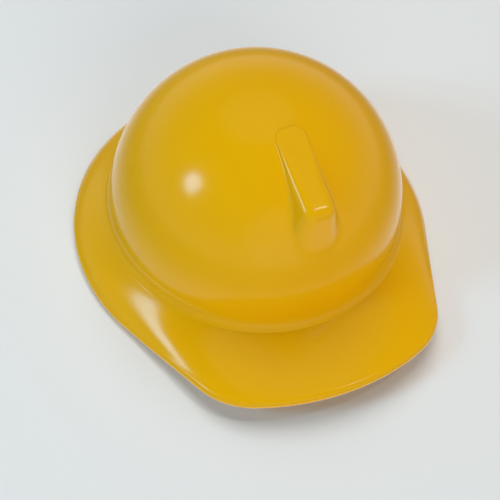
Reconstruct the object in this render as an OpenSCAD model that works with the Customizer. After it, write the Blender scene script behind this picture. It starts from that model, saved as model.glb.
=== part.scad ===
// Miniature hard hat: one glossy moulding, split here into its four plain regions.
// The origin is on the surface the hat stands on, under the middle of its outline.
// +Z is up and the peak points towards -Y.

/* [Crown] */
// Outside radius of the round crown
crown_r = 18; // [16:0.5:19]
// Thickness of the moulded wall
wall = 1.4; // [1.2:0.1:1.6]
// Height of the crown's centre above its foot
band_h = 1.65; // [1.2:0.05:2.5]
// How far the foot of the crown stands out past the round crown
foot_out = 0.9; // [0.6:0.1:1]
// Lean from upright to which the hollow at the foot has turned where the brim starts
foot_angle = 50; // [40:1:55]

/* [Brim] */
// Radius of the rim round the sides and the back
brim_r = 22.5; // [21.5:0.1:23]
// Depth of that rim below the foot of the crown
brim_drop = 4.05; // [3.5:0.05:4.5]
// Width of the flat under the rim that the hat stands on
land_w = 0.7; // [0.4:0.1:1]
// How far the brim's slope swells above a straight line, two thirds of the way down
slope_swell = 0.19; // [0:0.01:0.3]

/* [Peak] */
// Reach of the peak ahead of the crown's axis
peak_reach = 27.75; // [26:0.25:29]
// Depth of the peak's front rim below the foot of the crown
peak_drop = 0.95; // [0.5:0.05:1.5]
// Radius of the peak's two corners, seen from above
peak_corner_r = 9.3; // [8:0.1:10]
// Angle from straight ahead at which the peak's straight sides leave the round rim
peak_side_angle = 67; // [65:1:70]
// Angle from straight ahead at which the rim has come down to its full depth
peak_end_angle = 75; // [72:1:80]

/* [Front rib] */
// Width of the rib at its top
rib_w = 3.5; // [3:0.1:4.5]
// Distance of the rib's back end ahead of the crown's axis
rib_back = 4.4; // [4:0.1:6]
// Distance of the rib's front end ahead of the crown's axis
rib_front = 14.8; // [14:0.1:15]
// Height of the rib's front end above the foot of the crown
rib_rise = 16.4; // [16:0.1:17]
// Height of the small step where the rib begins
rib_step = 0.2; // [0.1:0.05:0.3]
// Lean of the rib's sides, for release from the mould
rib_draft = 16; // [4:1:20]
// Lean of the rib's front face
rib_front_draft = 8; // [4:1:10]

/* [Hidden] */
$fn = 180;

// The rim is a half round as thick as the wall, cut flat underneath.
rim_r = wall / 2;
rim_z = sqrt(pow(rim_r, 2) - pow(land_w / 2, 2));

// Heights of the foot of the crown, of the crown's centre and of the crown's lower edge
foot_z = rim_z + brim_drop;
crown_z = foot_z + band_h;
crown_low_z = foot_z - wall;

// The crown's axis is behind the origin by half of what the peak reaches past the brim.
axis_y = (peak_reach - brim_r) / 2;

// Plan of the peak: where its corner arcs leave the front arc and the straight sides
corner_out = peak_reach - peak_corner_r;
corner_start = peak_side_angle - acos((brim_r - peak_corner_r) / corner_out);
corner_x = corner_out * sin(corner_start) + peak_corner_r * sin(peak_side_angle);
corner_y = corner_out * cos(corner_start) + peak_corner_r * cos(peak_side_angle);
corner_end = atan2(corner_x, corner_y);

// Fine steps of the curves: degrees from one section of the peak to the next, and points on arcs
peak_step = 2.5;
foot_points = 8;
rim_points = 16;
slope_points = 6;
edge_points = 8;

// The rib's top, seen from the side
rib_back_z = crown_z + sqrt(pow(crown_r, 2) - pow(rib_back, 2)) + rib_step;
rib_front_z = foot_z + rib_rise;
rib_slope = atan2(rib_back_z - rib_front_z, rib_front - rib_back);
rib_depth = 9;
rib_edge_r = 1;
rib_nose_r = 1.2;

// Distance of the rim from the crown's axis at an angle a from straight ahead
function plan_r(a) =
    a <= corner_start ? peak_reach
    : a <= corner_end ? corner_arc_r(a - corner_start)
    : a <= peak_side_angle ? brim_r / cos(peak_side_angle - a)
    : brim_r;

// The same on a corner arc, at an angle b from the line through the arc's centre
function corner_arc_r(b) =
    corner_out * cos(b) + sqrt(pow(peak_corner_r, 2) - pow(corner_out * sin(b), 2));

// How far the rim has risen at an angle a, from 0 at the side to 1 straight ahead
function rise(a) =
    a >= peak_end_angle ? 0
    : pow((cos(a) - cos(peak_end_angle)) / (1 - cos(peak_end_angle)), 2);

// Centre of the half-round rim at an angle a, as [distance out, height]
function rim_centre(a) = [plan_r(a) - rim_r, rim_z + (brim_drop - peak_drop) * rise(a)];

// The brim's slope starts at the foot of the crown, and its underside at the crown's lower edge.
slope_top = [crown_r + foot_out, foot_z];
underside = [crown_r, crown_low_z];

// The hollow at the foot ends at slope_top and runs into the round crown without an edge.
foot_top = slope_top - [0, crown_z];
foot_normal = [cos(foot_angle), sin(foot_angle)];
foot_r = (pow(norm(foot_top), 2) - pow(crown_r, 2)) / (2 * (crown_r - foot_top * foot_normal));
foot_c = slope_top + foot_r * foot_normal;
foot_start = atan2(foot_c[1] - crown_z, foot_c[0]);
foot_start_z = crown_z + crown_r * sin(foot_start);

// Direction of the normal where a line from p touches the rim's circle at c
function touch_above(p, c) = bearing(p, c) - acos(rim_r / norm(p - c));
function touch_below(p, c) = bearing(p, c) + acos(rim_r / norm(p - c));
function bearing(p, c) = (360 + atan2(p[1] - c[1], p[0] - c[0])) % 360;
function on_circle(c, r, a) = c + r * [cos(a), sin(a)];

// The swell of the slope at a share t of its length, with its greatest value at two thirds
function swell(t) = slope_swell * 27 / 4 * pow(t, 2) * (1 - t);

// The brim's section at an angle a, as one closed loop of [distance out, height]. It stands
// against the crown's wall at a distance wall_r from the axis.
function section(a, wall_r) =
    let(
        c = rim_centre(a),
        above = touch_above(slope_top, c),
        below = touch_below(underside, c) - 360,
        slope_end = on_circle(c, rim_r, above)
    )
    concat(
        [[wall_r, crown_low_z], [wall_r, foot_start_z]],
        [for (i = [1 : foot_points])
            let(a = foot_start + (foot_angle - foot_start) * i / foot_points)
            on_circle(foot_c, foot_r, 180 + a)],
        [for (i = [1 : slope_points])
            let(t = i / slope_points)
            on_circle(slope_top + (slope_end - slope_top) * t, swell(t), above)],
        [for (i = [1 : rim_points])
            let(p = on_circle(c, rim_r, above + (below - above) * i / rim_points))
            [p[0], max(p[1], 0)]]
    );

function turned(p, a) = [p[0] * sin(a), -p[0] * cos(a), p[1]];

module crown_profile() {
    difference() {
        union() {
            intersection() {
                translate([0, crown_z])
                    circle(crown_r);
                translate([0, crown_z])
                    square(crown_r);
            }
            translate([0, crown_low_z])
                square([crown_r, crown_z - crown_low_z]);
        }
        translate([0, crown_z])
            circle(crown_r - wall);
        translate([0, crown_low_z - wall])
            square([crown_r - wall, crown_z - crown_low_z + wall]);
    }
}

module crown() {
    color("goldenrod")
    translate([0, axis_y, 0])
        rotate_extrude()
            crown_profile();
}

module brim() {
    color("goldenrod")
    translate([0, axis_y, 0])
        rotate([0, 0, peak_end_angle - 90])
            rotate_extrude(angle = 360 - 2 * peak_end_angle)
                polygon(section(peak_end_angle, crown_r));
}

// The peak is lofted through its sections. Its flat steps only touch the crown's round wall.
module peak() {
    steps = 2 * peak_end_angle / peak_step;
    wall_r = crown_r / cos(peak_step / 2);
    loops = [for (i = [0 : steps])
        let(a = i * peak_step - peak_end_angle)
        [for (p = section(abs(a), wall_r)) turned(p, a)]];
    n = len(loops[0]);
    sides = [for (i = [0 : steps - 1], j = [0 : n - 1])
        let(
            k = (j + 1) % n,
            here = i * n,
            next = here + n
        )
        each [[here + j, here + k, next + k], [here + j, next + k, next + j]]];
    ends = [
        [for (j = [n - 1 : -1 : 0]) j],
        [for (j = [0 : n - 1]) steps * n + j]
    ];
    color("goldenrod")
    translate([0, axis_y, 0])
        polyhedron([for (loop = loops) each loop], concat(sides, ends));
}

function unit(v) = v / norm(v);

// The corner at p, between its neighbours before and after, as an arc of radius r
function rounded(before, p, after, r) =
    let(
        u = unit(before - p),
        v = unit(after - p),
        half = acos(u * v) / 2,
        c = p + unit(u + v) * r / sin(half),
        middle = bearing(p, c),
        turn = cross(u, v) > 0 ? 90 - half : half - 90
    )
    [for (i = [-1 : 2 / edge_points : 1]) on_circle(c, r, middle - turn * i)];

// The rib's cross-section, with its top edge at height 0 and its sides leaning out
module rib_section() {
    out = rib_depth * tan(rib_draft);
    low_left = [-rib_w / 2 - out, -rib_depth];
    low_right = [rib_w / 2 + out, -rib_depth];
    left = [-rib_w / 2, 0];
    right = [rib_w / 2, 0];
    polygon(concat(
        [low_left],
        rounded(low_left, left, right, rib_edge_r),
        rounded(left, right, low_right, rib_edge_r),
        [low_right]
    ));
}

// The rib from the side, as [distance ahead of the crown's axis, height]
module rib_side() {
    low_z = rib_front_z - rib_depth;
    low_back = [rib_back, low_z];
    back = [rib_back, rib_back_z];
    front = [rib_front, rib_front_z];
    low_front = [rib_front + rib_depth * tan(rib_front_draft), low_z];
    polygon(concat(
        [low_back, back],
        rounded(back, front, low_front, rib_nose_r),
        [low_front]
    ));
}

module front_rib() {
    color("goldenrod")
    translate([0, axis_y, 0])
        difference() {
            intersection() {
                translate([0, -rib_back, rib_back_z])
                    rotate([90 + rib_slope, 0, 0])
                        linear_extrude(2 * rib_front, center = true)
                            rib_section();
                rotate([90, 0, -90])
                    linear_extrude(2 * rib_w, center = true)
                        rib_side();
            }
            translate([0, 0, crown_z])
                sphere(crown_r);
        }
}

crown();
brim();
peak();
front_rib();
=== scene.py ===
# %% [markdown]
# # A miniature hard hat in glossy yellow plastic
#
# The hat is a doll-size hard hat, about 45 mm wide. A real one is a single injection
# moulding: a round crown, a brim that slopes down all round and widens into a squared peak,
# and one short rib on the front of the crown. This lesson rebuilds the moulding as three
# closed pieces that meet where the real one has a crease, and gives them one glossy plastic.
#
# The design sizes come first, as a fixed frame. Every place below is worked out from it.

# %% Load the frame and measure it
import math
import bmesh
import bpy
from mathutils import Matrix, Vector


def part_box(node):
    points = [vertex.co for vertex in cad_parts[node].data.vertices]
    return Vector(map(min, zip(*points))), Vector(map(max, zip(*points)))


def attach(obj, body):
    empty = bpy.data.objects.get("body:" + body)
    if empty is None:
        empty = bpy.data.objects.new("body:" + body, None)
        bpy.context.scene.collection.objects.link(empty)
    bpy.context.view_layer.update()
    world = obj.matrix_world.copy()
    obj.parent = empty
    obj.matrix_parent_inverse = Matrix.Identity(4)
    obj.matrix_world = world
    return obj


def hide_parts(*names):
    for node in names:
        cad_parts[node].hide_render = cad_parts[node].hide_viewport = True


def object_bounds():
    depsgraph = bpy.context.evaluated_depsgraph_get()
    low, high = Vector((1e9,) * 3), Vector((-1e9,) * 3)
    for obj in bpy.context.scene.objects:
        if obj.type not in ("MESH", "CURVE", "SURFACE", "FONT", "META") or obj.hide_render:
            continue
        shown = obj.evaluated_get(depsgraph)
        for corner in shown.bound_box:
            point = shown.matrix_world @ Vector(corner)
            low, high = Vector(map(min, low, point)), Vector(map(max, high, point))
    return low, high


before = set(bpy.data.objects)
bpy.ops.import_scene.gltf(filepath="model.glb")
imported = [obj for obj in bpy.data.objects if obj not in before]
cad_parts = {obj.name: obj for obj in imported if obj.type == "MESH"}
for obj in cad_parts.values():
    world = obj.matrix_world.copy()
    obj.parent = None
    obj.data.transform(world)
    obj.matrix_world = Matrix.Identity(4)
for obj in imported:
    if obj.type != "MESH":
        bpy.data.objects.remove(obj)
cad_low, cad_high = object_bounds()
MM = 0.001

crown_low, crown_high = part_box("crown")
crown_r = (crown_high.x - crown_low.x) / 2
crown_y = (crown_high.y + crown_low.y) / 2
crown_z = crown_high.z - crown_r
axis = Vector((0, crown_y, 0))
centre = Vector((0, crown_y, crown_z))
print("crown radius", round(crown_r / MM, 2), "mm, centre", [round(c / MM, 2) for c in centre])

# %% [markdown]
# ## The camera
#
# The camera looks down on the hat from its front right-hand side, close enough for a little
# perspective, and it is tipped slightly to one side, as a hand-held camera is. Its place is
# given as angles and as a number of crown radii, so it would follow a hat of another size.

# %% Place the camera
view_turn = math.radians(-30.7)
view_height = math.radians(55.2)
view_roll = math.radians(9.1)
view_distance = 8 * crown_r
shift_right = -0.041 * crown_r
shift_up = -0.385 * crown_r

backward = Vector((
    math.sin(view_turn) * math.cos(view_height),
    -math.cos(view_turn) * math.cos(view_height),
    math.sin(view_height),
))
level = Vector((math.cos(view_turn), math.sin(view_turn), 0))
upright = backward.cross(level)
right = level * math.cos(view_roll) + upright * math.sin(view_roll)
upward = backward.cross(right)

camera_data = bpy.data.cameras.new("camera")
camera_data.lens = 83.7
camera_data.clip_start = 0.01
camera = bpy.data.objects.new("camera", camera_data)
bpy.context.collection.objects.link(camera)
turned = Matrix((right, upward, backward)).transposed().to_4x4()
place = centre + view_distance * backward + shift_right * right + shift_up * upward
camera.matrix_world = Matrix.Translation(place) @ turned
bpy.context.scene.camera = camera
print("camera", round(view_distance * 1000), "mm from the crown's centre")

# %% [markdown]
# ## The plan of the brim
#
# Seen from above, the rim is round at the sides and the back. At the front it is an arc about
# the crown's axis, with a large round corner at each end and a straight side that runs back
# to the round part. Seen from the side, the rim hangs low all round and rises at the peak.
# Both are written as functions of the angle from straight ahead, so that one section,
# turned round the axis, can be pulled out into the peak.

# %% Plan and height of the rim
wall = 1.4 * MM
rim_r = wall / 2
rim_low = 0.606 * MM
brim_drop = 4.05 * MM
peak_drop = 0.95 * MM
foot_out = 0.9 * MM
foot_lean = math.radians(50)
swell = 0.19 * MM
brim_r = (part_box("brim")[1].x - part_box("brim")[0].x) / 2
peak_reach = crown_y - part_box("peak")[0].y
corner_r = 9.3 * MM
side_angle = math.radians(67)
end_angle = math.radians(75)
foot_z = rim_low + brim_drop
crown_low_z = foot_z - wall

corner_out = peak_reach - corner_r
corner_start = side_angle - math.acos((brim_r - corner_r) / corner_out)
corner_x = corner_out * math.sin(corner_start) + corner_r * math.sin(side_angle)
corner_y = corner_out * math.cos(corner_start) + corner_r * math.cos(side_angle)
corner_end = math.atan2(corner_x, corner_y)


def plan_r(angle):
    """How far the rim reaches from the crown's axis."""
    a = abs(angle)
    if a <= corner_start:
        return peak_reach
    if a <= corner_end:
        b = a - corner_start
        return corner_out * math.cos(b) + math.sqrt(corner_r ** 2 - (corner_out * math.sin(b)) ** 2)
    if a <= side_angle:
        return brim_r / math.cos(side_angle - a)
    return brim_r


def rim_centre(angle):
    """Centre of the half-round rim, as (distance out, height)."""
    a = min(abs(angle), end_angle)
    rise = ((math.cos(a) - math.cos(end_angle)) / (1 - math.cos(end_angle))) ** 2
    return Vector((plan_r(angle) - rim_r, rim_low + (brim_drop - peak_drop) * rise))


print("rim reaches", round(plan_r(0) / MM, 2), "mm ahead and", round(plan_r(3) / MM, 2), "mm behind")

# %% [markdown]
# ## Sections to turn
#
# A moulded wall is easiest to draw as its section: a closed loop of points in the plane
# through the axis. The crown's section goes over the top, down the outside, round the small
# hollow at the foot, and back up the inside. The brim's section starts at that crease, runs
# down the slope, round the rim and back along the underside.

# %% Sections of the crown and the brim
DOME_STEPS, INNER_STEPS, FOOT_STEPS, LIP_STEPS = 64, 40, 16, 4
SLOPE_STEPS, RIM_STEPS, UNDER_STEPS = 20, 24, 12
QUARTER = math.pi / 2

slope_top = Vector((crown_r + foot_out, foot_z))
underside = Vector((crown_r, crown_low_z))
inner_r = crown_r - wall
lip_r = 0.25 * MM

# The foot's hollow passes through slope_top, leans as told there, and touches the crown.
foot_normal = Vector((math.cos(foot_lean), math.sin(foot_lean)))
foot_top = slope_top - Vector((0, crown_z))
foot_r = (foot_top.length_squared - crown_r ** 2) / (2 * (crown_r - foot_top.dot(foot_normal)))
foot_c = slope_top + foot_r * foot_normal
foot_start = math.atan2(foot_c.y - crown_z, foot_c.x)


def arc(c, r, start, end, steps):
    """Points on a circle about c, from one angle to another, in radians."""
    return [
        Vector((c[0] + r * math.cos(a), c[1] + r * math.sin(a)))
        for a in (start + (end - start) * i / steps for i in range(steps + 1))
    ]


def between(p, q, steps):
    """Points on the line from p to q, without its two ends."""
    return [p.lerp(q, i / steps) for i in range(1, steps)]


def crown_section():
    """The crown's wall, from the top of the outside round to the top of the inside."""
    outside = arc((0, crown_z), crown_r, QUARTER, foot_start, DOME_STEPS)
    hollow = arc(foot_c, foot_r, math.pi + foot_start, math.pi + foot_lean, FOOT_STEPS)
    lip_c = Vector((inner_r + lip_r, crown_low_z + lip_r))
    lip = arc(lip_c, lip_r, 3 * QUARTER, 2 * QUARTER, LIP_STEPS)
    inside = arc((0, crown_z), inner_r, 0, QUARTER, INNER_STEPS)
    land = between(lip[-1], inside[0], LIP_STEPS)
    return outside + hollow[1:] + [underside] + lip + land + inside


def brim_section(angle):
    """The brim's wall at an angle from straight ahead, once round from the crease."""
    c = rim_centre(angle)
    to_top = slope_top - c
    to_under = underside - c
    above = math.atan2(to_top.y, to_top.x) - math.acos(rim_r / to_top.length)
    below = math.atan2(to_under.y, to_under.x) + math.acos(rim_r / to_under.length)
    below = below % (2 * math.pi) - 2 * math.pi
    rim = arc(c, rim_r, above, below, RIM_STEPS)
    for p in rim:
        p.y = max(p.y, 0)
    slope = between(slope_top, rim[0], SLOPE_STEPS)
    out = Vector((math.cos(above), math.sin(above)))
    for i, p in enumerate(slope, 1):
        t = i / SLOPE_STEPS
        # The hump t * t * (1 - t) is 4/27 at its highest, two thirds of the way down.
        p += out * swell * 27 / 4 * t ** 2 * (1 - t)
    under = between(rim[-1], underside, UNDER_STEPS)
    return [slope_top.copy()] + slope + rim + under + [underside.copy()]


print(len(crown_section()), "points in the crown's section,", len(brim_section(0)), "in the brim's")

# %% [markdown]
# ## Turning a section into a solid
#
# Blender's Spin turns a chain of edges round an axis, like clay on a wheel. For the brim, each
# point remembers its number in the section, so that after the turn it can be moved to where
# the section at its own angle has it. That pulls the peak out of a plain round ring and keeps
# one even mesh, so the gloss runs over the join of brim and peak without a break.

# %% Spin, and pull to shape
TURNS = 288


def spin_section(points, closed):
    """Turns a chain of points once round the crown's axis. Returns the mesh and its numbers."""
    bm = bmesh.new()
    number = bm.verts.layers.int.new("number")
    chain = []
    for i, p in enumerate(points):
        v = bm.verts.new((0, -p.x, p.y))
        v[number] = i
        chain.append(v)
    for a, b in zip(chain, chain[1:]):
        bm.edges.new((a, b))
    if closed:
        bm.edges.new((chain[-1], chain[0]))
    bmesh.ops.spin(
        bm, geom=bm.verts[:] + bm.edges[:], cent=(0, 0, 0), axis=(0, 0, 1),
        angle=2 * math.pi, steps=TURNS, use_merge=True,
    )
    return bm, number


def finish_piece(bm, name, sharp_numbers, number):
    """Closes, turns outwards and places a piece, and makes it an object."""
    bmesh.ops.remove_doubles(bm, verts=bm.verts[:], dist=1e-7)
    bmesh.ops.recalc_face_normals(bm, faces=bm.faces[:])
    for face in bm.faces:
        face.smooth = True
    for edge in bm.edges:
        first, second = (v[number] for v in edge.verts)
        edge.smooth = not (first == second and first in sharp_numbers)
    bmesh.ops.translate(bm, verts=bm.verts[:], vec=axis)
    mesh = bpy.data.meshes.new(name)
    bm.to_mesh(mesh)
    bm.free()
    piece = bpy.data.objects.new(name, mesh)
    bpy.context.collection.objects.link(piece)
    print(name, len(mesh.polygons), "faces")
    return piece


points = crown_section()
bm, number = spin_section(points, closed=False)
crease = DOME_STEPS + FOOT_STEPS
crown = finish_piece(bm, "crown_shell", (crease, crease + 1), number)

points = brim_section(0)
bm, number = spin_section(points, closed=True)
for v in bm.verts:
    angle = math.atan2(v.co.x, -v.co.y)
    p = brim_section(angle)[v[number]]
    v.co = (p.x * math.sin(angle), -p.x * math.cos(angle), p.y)
brim = finish_piece(bm, "brim_and_peak", (0, len(points) - 1), number)

# %% [markdown]
# ## The rib
#
# The rib starts almost flush with the crown and runs level towards the front, where it ends in
# a steep face. It grows from a single ring of points that is extruded again and again: out
# from the middle of the flat top, over the rounded edge, down the side, and out onto the crown
# through a small hollow, which is where the steel of the mould was rounded. Each ring is
# placed after its extrusion, so the hollow always meets the crown at a tangent.

# %% Plan and sizes of the rib
rib_w = 3.5 * MM
rib_back = 4.4 * MM
rib_front = 14.8 * MM
rib_step = 0.2 * MM
rib_rise = 16.4 * MM
rib_back_z = crown_z + math.sqrt(crown_r ** 2 - rib_back ** 2) + rib_step
rib_front_z = foot_z + rib_rise
rib_edge = 1.0 * MM
rib_hollow = 1.0 * MM
back_corner = 1.2 * MM
front_corner = 1.15 * MM
side_lean = math.radians(16)
front_lean = math.radians(8)
SIDE_STEPS = 48
CORNER_STEPS = 10
END_STEPS = 8


def rib_plan():
    """The rib's outline from above, as (point, direction outwards), once round."""
    half = rib_w / 2
    plan = []

    def corner(cx, cy, r, start):
        for i in range(CORNER_STEPS + 1):
            a = start + QUARTER * i / CORNER_STEPS
            n = Vector((math.cos(a), math.sin(a)))
            plan.append((Vector((cx, cy)) + n * r, n))

    def run(steps):
        plan.extend([None] * (steps - 1))

    corner(half - back_corner, -rib_back - back_corner, back_corner, 0)
    run(END_STEPS)
    corner(-half + back_corner, -rib_back - back_corner, back_corner, QUARTER)
    run(SIDE_STEPS)
    corner(-half + front_corner, -rib_front + front_corner, front_corner, 2 * QUARTER)
    run(END_STEPS)
    corner(half - front_corner, -rib_front + front_corner, front_corner, 3 * QUARTER)
    run(SIDE_STEPS)
    known = [i for i, p in enumerate(plan) if p]
    for a, b in zip(known, known[1:] + [known[0] + len(plan)]):
        (p, n), (q, _) = plan[a], plan[b % len(plan)]
        for i in range(a + 1, b):
            plan[i] = (p.lerp(q, (i - a) / (b - a)), n)
    return plan


plan = rib_plan()
print(len(plan), "points round the rib")

# %% [markdown]
# ## One line down the rib
#
# Each point of the outline gets one line of points, drawn from the middle of the flat top
# outwards. It bends over the edge, runs down the drafted side until it reaches the crown's
# round, and lands there through the hollow. Draft is the lean that lets a moulding leave its
# mould. Where the rib is almost flush, edge and hollow shrink with the little height left.

# %% Heights, walls and the hollow at the foot
top_fall = (rib_back_z - rib_front_z) / (rib_front - rib_back)
middle = Vector((0, 0, crown_z))
sunk_depth = -0.4 * wall
least_spread = 0.12 * MM
TOP_SHARES = (0, 0.5, 0.9, 1)
EDGE_STEPS = 12
HOLLOW_STEPS = 8


def top_z(y):
    return rib_back_z + (y + rib_back) * top_fall


def on_crown(p, lift=0.0):
    """The point of the crown's round straight out from p."""
    return middle + (p - middle).normalized() * (crown_r + lift)


def bend(p, q, r, first, steps):
    """Points on the curve that starts at p towards q and ends at r coming from q."""
    shares = (i / steps for i in range(first, steps + 1))
    return [p * (1 - t) ** 2 + q * 2 * t * (1 - t) + r * t ** 2 for t in shares]


def rib_line(p, n):
    """One line of points from the rib's middle over its edge and down onto the crown."""
    z = top_z(p.y)
    out = Vector((n.x, n.y, 0))
    corner = Vector((p.x, p.y, z))
    gap = z - crown_z - math.sqrt(max(crown_r ** 2 - p.x ** 2 - p.y ** 2, 0))
    edge = min(rib_edge, 0.6 * gap)
    ahead = max(-n.y, 0)
    lean = side_lean + (front_lean - side_lean) * ahead
    down = (out * math.sin(lean) - Vector((0, 0, 1)) * math.cos(lean)).normalized()

    # The flat top, from its middle line to where the edge starts.
    core_y = min(max(p.y, -rib_front + rib_w / 2), -rib_back - rib_w / 2)
    core = Vector((0, core_y, z))
    inner = corner - out * edge
    inner.z = top_z(inner.y)
    line = []
    for t in TOP_SHARES:
        q = core.lerp(inner, t)
        line.append(Vector((q.x, q.y, top_z(q.y))))

    # The rounded edge, then straight down until the line meets the crown at foot.
    turn = corner + down * edge
    line += bend(inner, corner, turn, 1, EDGE_STEPS)
    reach = turn - middle
    along_down = reach.dot(down)
    under_root = along_down ** 2 - reach.length_squared + crown_r ** 2
    length = max(-along_down - math.sqrt(max(under_root, 0)), 0)
    foot = turn + down * length

    # The hollow that runs out onto the crown, and the part sunk into its wall.
    hollow = min(rib_hollow, 0.85 * length)
    normal = (foot - middle).normalized()
    along = (out - normal * out.dot(normal)).normalized()
    above_foot = foot - down * hollow
    beside_foot = on_crown(foot + along * max(hollow, least_spread))
    line.append(turn.lerp(above_foot, 0.5))
    line += bend(above_foot, foot, beside_foot, 0, HOLLOW_STEPS)
    line.append(on_crown(beside_foot, sunk_depth))
    line.append(on_crown(core, sunk_depth))
    return line


lines = [rib_line(p, n) for p, n in plan]
print(len(lines[0]), "rings in the rib")

# %% [markdown]
# ## Growing the rib
#
# Extrude copies a ring of edges and joins it to the old one with faces. Doing this once for
# each step of the lines gives clean rings that follow the rib's outline. The first ring is
# shrunk to the middle of the top and the last to a line inside the wall, so the rib is a
# closed body of its own that sits a little way into the crown.

# %% Grow the rib ring by ring
bm = bmesh.new()
number = bm.verts.layers.int.new("number")
ring = bmesh.ops.create_circle(bm, cap_ends=False, segments=len(plan), radius=MM)["verts"]
ring.sort(key=lambda v: math.atan2(v.co.y, v.co.x) % (2 * math.pi))
for v, line in zip(ring, lines):
    v.co = line[0]
    v[number] = 0
for step in range(1, len(lines[0])):
    edges = [e for e in bm.edges if all(v in ring for v in e.verts)]
    grown = bmesh.ops.extrude_edge_only(bm, edges=edges)["geom"]
    fresh = {v for v in grown if isinstance(v, bmesh.types.BMVert)}
    following = []
    for v, line in zip(ring, lines):
        new = next(e.other_vert(v) for e in v.link_edges if e.other_vert(v) in fresh)
        new.co = line[step]
        new[number] = step
        following.append(new)
    ring = following
beside_foot_ring = len(lines[0]) - 3
rib = finish_piece(bm, "front_rib_shell", (beside_foot_ring,), number)

# %% [markdown]
# ## The plastic
#
# The hat is glossy ABS, coloured right through: a strong golden yellow under a clear, slightly
# soft gloss. The mould leaves faint waves in the surface that bend a reflection a little, and
# handling leaves dust-fine pits that only show inside a highlight. Both are bump, far finer
# than any shape of the hat, and the colour drifts by a few parts in a hundred.

# %% Make the yellow plastic
def add(nodes, kind, **settings):
    """Adds a node and sets the sockets or properties named."""
    node = nodes.new(kind)
    for name, value in settings.items():
        if name in node.inputs:
            node.inputs[name].default_value = value
        else:
            setattr(node, name, value)
    return node


def yellow_abs():
    material = bpy.data.materials.new("yellow_abs")
    material.use_nodes = True
    nodes, links = material.node_tree.nodes, material.node_tree.links
    shader = nodes["Principled BSDF"]
    shader.inputs["IOR"].default_value = 1.5
    shader.inputs["Specular IOR Level"].default_value = 0.25

    place = add(nodes, "ShaderNodeTexCoord")
    clouds = add(nodes, "ShaderNodeTexNoise", Scale=90.0, Detail=3.0, Roughness=0.5)
    drift = add(nodes, "ShaderNodeMix", data_type="RGBA")
    drift.inputs[6].default_value = (0.80, 0.405, 0.0015, 1)
    drift.inputs[7].default_value = (0.83, 0.425, 0.0015, 1)
    links.new(place.outputs["Object"], clouds.inputs["Vector"])
    links.new(clouds.outputs["Fac"], drift.inputs["Factor"])
    links.new(drift.outputs[2], shader.inputs["Base Color"])

    smears = add(nodes, "ShaderNodeTexNoise", Scale=260.0, Detail=4.0, Roughness=0.6)
    gloss = add(nodes, "ShaderNodeMapRange")
    gloss.inputs["To Min"].default_value = 0.14
    gloss.inputs["To Max"].default_value = 0.21
    links.new(place.outputs["Object"], smears.inputs["Vector"])
    links.new(smears.outputs["Fac"], gloss.inputs["Value"])
    links.new(gloss.outputs["Result"], shader.inputs["Roughness"])

    waves = add(nodes, "ShaderNodeTexNoise", Scale=220.0, Detail=2.0, Roughness=0.4)
    wave_bump = add(nodes, "ShaderNodeBump", Strength=0.06, Distance=0.00006)
    pits = add(nodes, "ShaderNodeTexVoronoi", Scale=1800.0)
    pit_edge = add(nodes, "ShaderNodeMapRange")
    pit_edge.inputs["From Max"].default_value = 0.15
    pit_bump = add(nodes, "ShaderNodeBump", Strength=0.35, Distance=0.00002)
    links.new(place.outputs["Object"], waves.inputs["Vector"])
    links.new(waves.outputs["Fac"], wave_bump.inputs["Height"])
    links.new(place.outputs["Object"], pits.inputs["Vector"])
    links.new(pits.outputs["Distance"], pit_edge.inputs["Value"])
    links.new(pit_edge.outputs["Result"], pit_bump.inputs["Height"])
    links.new(wave_bump.outputs["Normal"], pit_bump.inputs["Normal"])
    links.new(pit_bump.outputs["Normal"], shader.inputs["Normal"])
    return material


plastic = yellow_abs()
replaced = ((crown, ("crown",)), (brim, ("brim", "peak")), (rib, ("front_rib",)))
for piece, nodes in replaced:
    piece.data.materials.append(plastic)
    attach(piece, "root")
    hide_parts(*nodes)
print("plastic on", ", ".join(piece.name for piece, _ in replaced))

# %% [markdown]
# ## The floor
#
# The hat stands on a plain pale surface at the height of its rim. The floor catches the
# shadow and throws light back up under the brim, but it stays out of the reflections: a
# sheet this bright would wash the yellow out of the lower half of a glossy dome.

# %% Lay the floor
def plain(name, colour, roughness):
    material = bpy.data.materials.new(name)
    material.use_nodes = True
    shader = material.node_tree.nodes["Principled BSDF"]
    shader.inputs["Base Color"].default_value = (*colour, 1)
    shader.inputs["Roughness"].default_value = roughness
    return material


bm = bmesh.new()
bmesh.ops.create_grid(bm, x_segments=1, y_segments=1, size=0.5)
floor_mesh = bpy.data.meshes.new("floor")
bm.to_mesh(floor_mesh)
bm.free()
floor = bpy.data.objects.new("floor", floor_mesh)
floor.location.z = cad_low.z
floor.data.materials.append(plain("floor", (0.83, 0.82, 0.79), 0.8))
bpy.context.collection.objects.link(floor)
floor.visible_glossy = False
print("floor at", round(floor.location.z / MM, 2), "mm")

# %% [markdown]
# ## The lamps
#
# The light is soft daylight. One small round lamp on the hat's right-hand side gives the
# single bright spot on the crown and the streak along the brim, and a smaller one overhead
# gives the glint on the rib's nose. The two wide panels, overhead and in front, only light
# the colour, so they are hidden from reflections.

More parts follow.
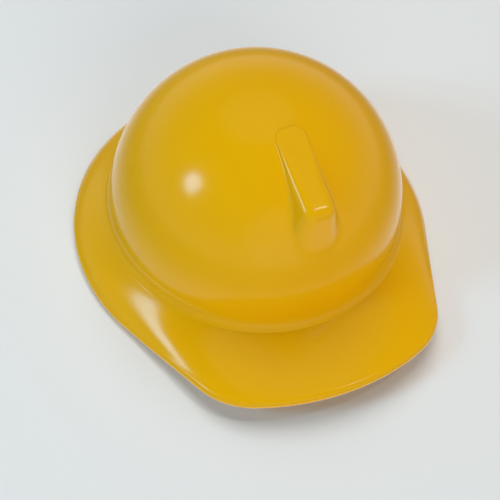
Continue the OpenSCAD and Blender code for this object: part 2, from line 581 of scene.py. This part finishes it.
# %% Place the lamps
def lamp(name, direction, distance, size, power, colour=(1, 1, 1)):
    """A round area light that shines on the crown's centre from a direction."""
    data = bpy.data.lights.new(name, "AREA")
    data.shape = "DISK"
    data.size = size
    data.energy = power
    data.color = colour
    light = bpy.data.objects.new(name, data)
    towards = Vector(direction).normalized()
    light.location = centre + towards * distance
    light.rotation_mode = "QUATERNION"
    light.rotation_quaternion = towards.to_track_quat("Z", "Y")
    bpy.context.collection.objects.link(light)
    return light


lamp("key", (-0.842, 0.038, 0.538), 0.40, 0.095, 0.43, (0.35, 0.72, 1.0))
lamp("small", (0.36, -0.16, 0.92), 0.50, 0.03, 0.20)
front = lamp("front", (-0.15, -1.0, 0.35), 0.6, 0.5, 1.6)
fill = lamp("fill", (0.12, 0.45, 1.0), 0.9, 0.8, 5.4)
for panel in (front, fill):
    panel.visible_glossy = False

# %% [markdown]
# ## The surround
#
# What a gloss shows is mostly its surroundings. Here they are a ramp by height, from straight
# down to straight up: pale far below and at the horizon, darker between and overhead. The
# pale parts give the dome its milky edge, and the dark parts keep its middle a deep yellow.

# %% Make the surround
world = bpy.data.worlds.new("surround")
world.use_nodes = True
nodes, links = world.node_tree.nodes, world.node_tree.links
place = nodes.new("ShaderNodeTexCoord")
split = nodes.new("ShaderNodeSeparateXYZ")
height = nodes.new("ShaderNodeMapRange")
height.inputs["From Min"].default_value = -1
bands = nodes.new("ShaderNodeValToRGB")
stops = (
    (-1, 0.95), (-0.65, 0.95), (-0.35, 0.12), (-0.14, 0.12),
    (-0.08, 0.65), (0.12, 0.58), (0.35, 0.24), (0.7, 0.08), (0.95, 0.03),
)
ramp = bands.color_ramp.elements
for i, (z, strength) in enumerate(stops):
    stop = ramp[i] if i < 2 else ramp.new(1)
    stop.position = (z + 1) / 2
    stop.color = (strength, strength, strength, 1)
links.new(place.outputs["Generated"], split.inputs["Vector"])
links.new(split.outputs["Z"], height.inputs["Value"])
links.new(height.outputs["Result"], bands.inputs["Fac"])
nodes["Background"].inputs["Color"].default_value = (0.95, 0.97, 1.0, 1)
links.new(bands.outputs["Color"], nodes["Background"].inputs["Strength"])
bpy.context.scene.world = world
bpy.context.scene.view_settings.view_transform = "Standard"
print(len(stops), "stops in the surround")
